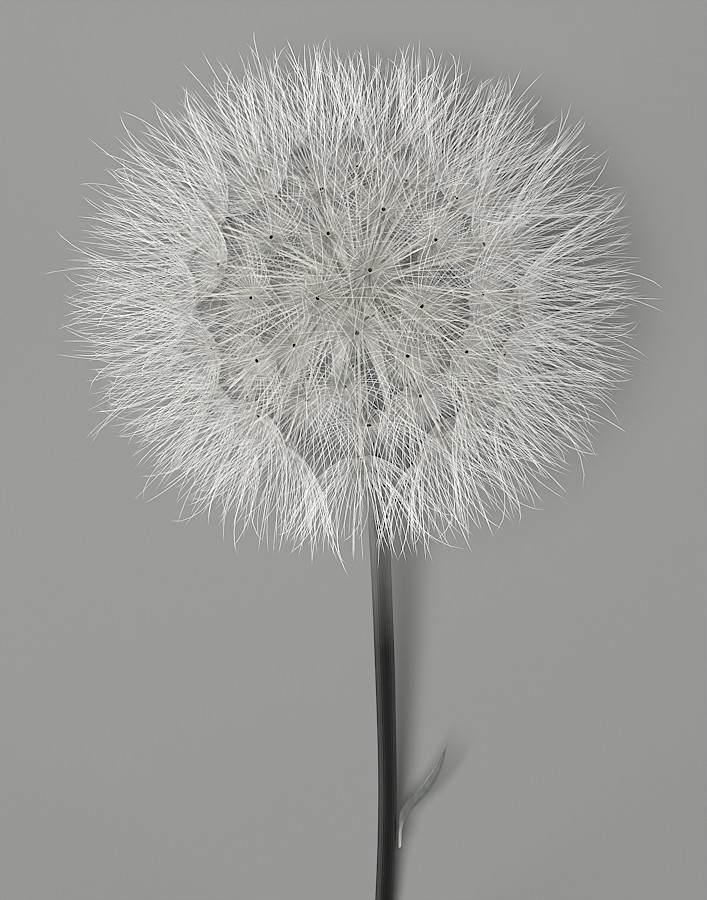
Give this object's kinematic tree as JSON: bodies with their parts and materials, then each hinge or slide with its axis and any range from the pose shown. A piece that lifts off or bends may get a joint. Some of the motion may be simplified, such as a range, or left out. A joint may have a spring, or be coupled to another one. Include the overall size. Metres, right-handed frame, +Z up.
{
  "type": "dandelion seed head",
  "caption": "Ripe clock of feathery seeds on its cut stem, of the giant goat's-beard kind of dandelion, with reflexed bracts and one small leaf, lying on its side on a surface.",
  "frame": {"origin": "on the surface that the part lies on, under the middle of its bounding box", "axes": "+Y from the stem's cut end towards the head, +Z up from the surface, +X to the side that the leaf points to"},
  "size_m": [0.0974, 0.1746, 0.091],
  "materials": {
    "seed_head": "matte",
    "involucre": "matte",
    "stem": "satin",
    "leaf": "satin"
  },
  "bodies": {
    "root": {"seed_head": "seed_head", "involucre": "involucre", "stem": "stem", "leaf": "leaf"}
  },
  "joints": []
}
